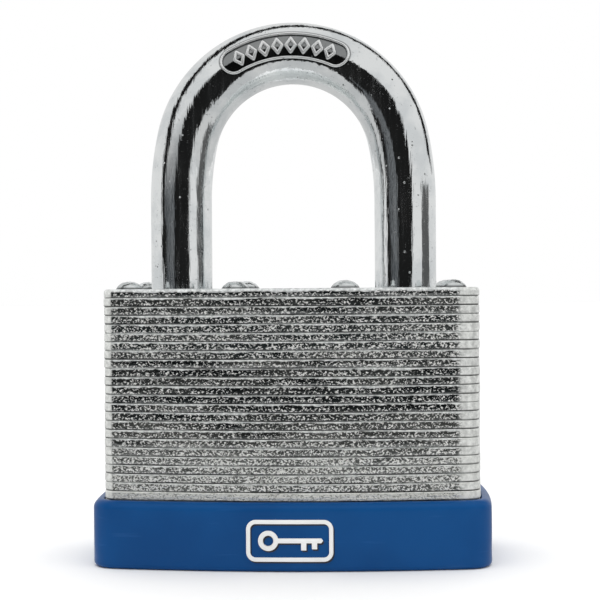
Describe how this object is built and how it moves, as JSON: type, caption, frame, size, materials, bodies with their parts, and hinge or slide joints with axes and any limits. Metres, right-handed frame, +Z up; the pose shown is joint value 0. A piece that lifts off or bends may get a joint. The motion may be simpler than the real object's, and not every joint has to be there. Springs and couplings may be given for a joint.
{
  "type": "laminated padlock",
  "caption": "Laminated steel padlock with a moulded bumper, a round plated shackle, two locking levers and a pin cylinder; the shackle lifts and the plug turns.",
  "frame": {"origin": "middle of the flat underside of the bumper", "axes": "+Z up along the shackle's legs, -Y the front with the badge, +X from the captive heel leg towards the toe leg"},
  "size_m": [0.0694, 0.036, 0.0948],
  "materials": {
    "plates": "sheared, pitted edges",
    "rivets": "plated, peened",
    "bumper": "moulded, glossy",
    "emblem": "printed white",
    "shackle": "plated, polished",
    "hard_steel": "hardened",
    "spring_wire": "bright drawn wire",
    "brass": "machined",
    "pin_brass": "turned"
  },
  "bodies": {
    "lock_body": {"plate_01": "plates", "plate_02": "plates", "plate_03": "plates", "plate_04": "plates", "plate_05": "plates", "plate_06": "plates", "plate_07": "plates", "plate_08": "plates", "plate_09": "plates", "plate_10": "plates", "plate_11": "plates", "plate_12": "plates", "plate_13": "plates", "plate_14": "plates", "plate_15": "plates", "plate_16": "plates", "plate_17": "plates", "plate_18": "plates", "plate_19": "plates", "plate_20": "plates", "plate_21": "plates", "plate_22": "plates", "plate_23": "plates", "plate_24": "plates", "plate_25": "plates", "plate_26": "plates", "plate_27": "plates", "plate_28": "plates", "plate_29": "plates", "plate_30": "plates", "rivets": "rivets", "bumper": "bumper", "emblem": "emblem", "retaining_pin": "hard_steel", "shackle_spring": "spring_wire", "lever_spring": "spring_wire", "cylinder_case": "brass", "tower_cover": "brass", "driver_pin_1": "pin_brass", "driver_pin_2": "pin_brass", "driver_pin_3": "pin_brass", "driver_pin_4": "pin_brass", "driver_pin_5": "pin_brass", "pin_spring_1": "spring_wire", "pin_spring_2": "spring_wire", "pin_spring_3": "spring_wire", "pin_spring_4": "spring_wire", "pin_spring_5": "spring_wire"},
    "plug": {"plug": "brass", "cam": "hard_steel", "key_pin_1": "pin_brass", "key_pin_2": "pin_brass", "key_pin_3": "pin_brass", "key_pin_4": "pin_brass", "key_pin_5": "pin_brass"},
    "lever_left": {"lever_left": "hard_steel"},
    "lever_right": {"lever_right": "hard_steel"},
    "shackle": {"shackle": "shackle"}
  },
  "joints": [
    {"name": "plug_turn", "type": "hinge", "parent": "lock_body", "child": "plug", "pos_m": [0, 0, 0.0025], "axis": [0, 0, 1], "range_deg": [-90, 0]},
    {"name": "lever_left_slide", "type": "slide", "parent": "lock_body", "child": "lever_left", "axis": [1, 0, 0], "range_m": [-0.00215, 0], "deforming": ["lever_spring"]},
    {"name": "lever_right_slide", "type": "slide", "parent": "lock_body", "child": "lever_right", "axis": [-1, 0, 0], "range_m": [-0.00215, 0]},
    {"name": "shackle_lift", "type": "slide", "parent": "lock_body", "child": "shackle", "axis": [0, 0, 1], "range_m": [0, 0.013], "deforming": ["shackle_spring"]}
  ],
  "couplings": [
    {"joint": "lever_left_slide", "follows": "plug_turn", "m_per_rad": 0.0013687},
    {"joint": "lever_right_slide", "follows": "plug_turn", "m_per_rad": 0.0013687}
  ]
}
